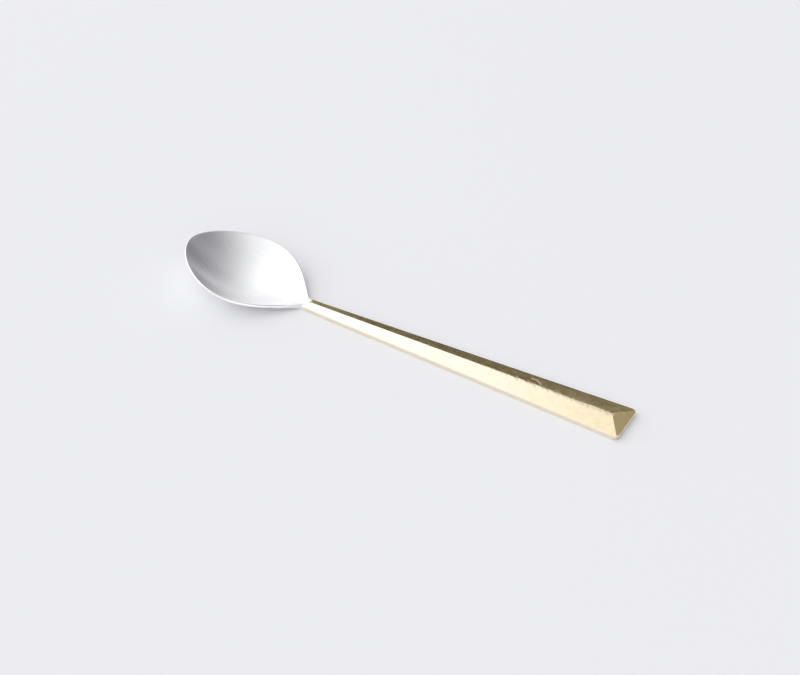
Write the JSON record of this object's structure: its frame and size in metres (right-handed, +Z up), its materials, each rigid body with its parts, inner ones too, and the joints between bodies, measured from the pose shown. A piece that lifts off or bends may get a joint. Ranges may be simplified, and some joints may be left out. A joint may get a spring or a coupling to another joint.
{
  "type": "dessert spoon",
  "caption": "Dessert spoon for eating and stirring: shallow pointed oval bowl of brushed steel, soldered to a slim tapered brass handle with a low ridge and a slanted end.",
  "frame": {"origin": "middle of the spoon's length and width, on the surface that it lies on", "axes": "+X along the handle to its free end, -X to the tip of the bowl, +Z up out of the open bowl"},
  "size_m": [0.165, 0.037, 0.0117],
  "materials": {
    "bowl_steel": "satin, finely brushed on the slant",
    "handle_brass": "satin, unlacquered, worn pale along its edges",
    "solder": "satin"
  },
  "bodies": {
    "root": {"bowl": "bowl_steel", "handle": "handle_brass", "solder_seam": "solder"}
  },
  "joints": []
}
